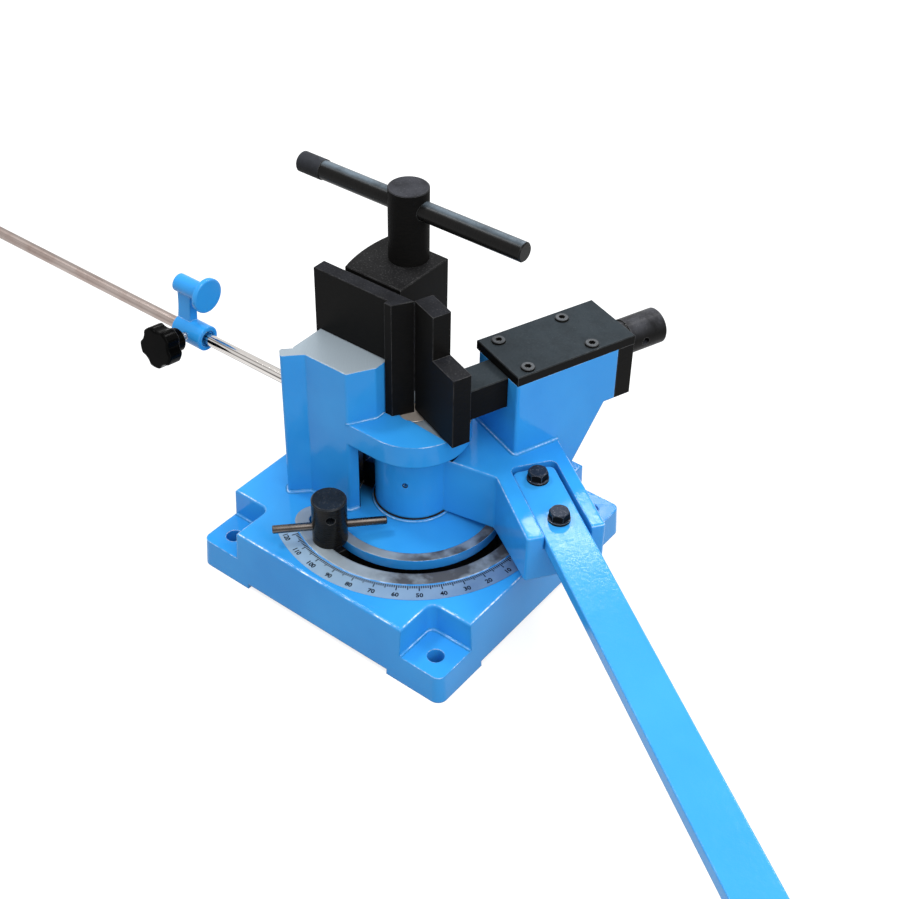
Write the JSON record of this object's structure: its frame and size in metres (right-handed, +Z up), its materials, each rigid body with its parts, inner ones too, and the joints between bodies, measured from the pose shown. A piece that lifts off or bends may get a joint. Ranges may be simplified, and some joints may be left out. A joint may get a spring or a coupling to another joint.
{
  "type": "universal bar bender",
  "caption": "Bench bar bender: square cast base with a degree scale, clamp with former nose, swinging arm with screw-set die, hand lever, angle stop and length stop.",
  "frame": {"origin": "on the swing pivot's axis, at the level of the feet", "axes": "+X along the clamped bar towards the swing arm, +Y away from the operator, +Z up the pivot pin"},
  "size_m": [1.129, 0.52, 0.372],
  "materials": {
    "blue_paint": "glossy enamel over a casting",
    "black_steel": "black oxide, satin",
    "bare_steel": "machined, bare",
    "bright_rod": "polished",
    "scale_strip": "satin, printed divisions",
    "bronze": "turned",
    "black_plastic": "moulded"
  },
  "bodies": {
    "base": {"base_casting": "blue_paint", "degree_scale": "scale_strip", "pivot_pin": "bare_steel", "lower_thrust_washer": "bare_steel", "former_plate": "black_steel", "former_screws": "black_steel", "stop_rod": "bright_rod"},
    "swing_arm": {"swing_arm": "blue_paint", "lower_bush": "bronze", "upper_bush": "bronze", "upper_thrust_washer": "bare_steel", "ram_cover": "black_steel", "cover_screws": "black_steel", "end_plate": "black_steel", "end_plate_screws": "black_steel", "lever": "blue_paint", "lever_washers": "black_steel", "lever_bolts": "black_steel"},
    "ram": {"ram": "black_steel", "stepped_die": "black_steel", "die_stud": "bare_steel", "die_dowels": "bare_steel"},
    "ram_screw": {"ram_screw": "black_steel", "screw_collar": "bare_steel"},
    "clamp_spindle": {"clamp_spindle": "black_steel", "clamp_t_bar": "black_steel", "spindle_washer": "bare_steel", "spindle_screw": "black_steel"},
    "clamp_block": {"clamp_block": "black_steel"},
    "stop_slider": {"stop_t_bolt": "bare_steel"},
    "stop_post": {"angle_stop": "black_steel"},
    "stop_bar": {"stop_bar": "black_steel"},
    "length_stop": {"length_stop": "blue_paint"},
    "length_knob": {"star_knob": "black_plastic", "knob_stud": "bare_steel"}
  },
  "joints": [
    {"name": "arm_swing", "type": "hinge", "parent": "base", "child": "swing_arm", "pos_m": [0, 0, 0.109], "axis": [0, 0, 1], "range_deg": [-73.5, 20.5]},
    {"name": "ram_screw_turn", "type": "hinge", "parent": "swing_arm", "child": "ram_screw", "pos_m": [0.10417, 0.18525, 0.199], "axis": [-0.3502, -0.9367, 0], "range_deg": [0, 2701]},
    {"name": "ram_slide", "type": "slide", "parent": "swing_arm", "child": "ram", "axis": [0.3502, 0.9367, 0], "range_m": [0, 0.03]},
    {"name": "clamp_turn", "type": "hinge", "parent": "base", "child": "clamp_spindle", "pos_m": [-0.05, 0.054, 0.2], "axis": [0, 0, 1], "range_deg": [-50, 50]},
    {"name": "clamp_slide", "type": "slide", "parent": "base", "child": "clamp_block", "axis": [0, 1, 0], "range_m": [-0.0024, 0.0024]},
    {"name": "stop_travel", "type": "hinge", "parent": "base", "child": "stop_slider", "pos_m": [0, 0, 0.06], "axis": [0, 0, 1], "range_deg": [-12, 70]},
    {"name": "stop_turn", "type": "hinge", "parent": "stop_slider", "child": "stop_post", "pos_m": [-0.02665, -0.09483, 0.09], "axis": [0, 0, -1], "range_deg": [-40, 0]},
    {"name": "stop_bar_slide", "type": "slide", "parent": "stop_post", "child": "stop_bar", "axis": [0.6947, 0.7193, 0], "range_m": [-0.038, 0.015]},
    {"name": "length_stop_slide", "type": "slide", "parent": "base", "child": "length_stop", "axis": [1, 0, 0], "range_m": [-0.3, 0.105]},
    {"name": "length_knob_turn", "type": "hinge", "parent": "length_stop", "child": "length_knob", "pos_m": [-0.2448, -0.046, 0.18], "axis": [0, -0.9848, 0.1736], "range_deg": [0, 360]}
  ],
  "couplings": [
    {"joint": "ram_screw_turn", "follows": "ram_slide", "rad_per_m": 1570.8},
    {"joint": "clamp_slide", "follows": "clamp_turn", "m_per_rad": 0.00263}
  ]
}
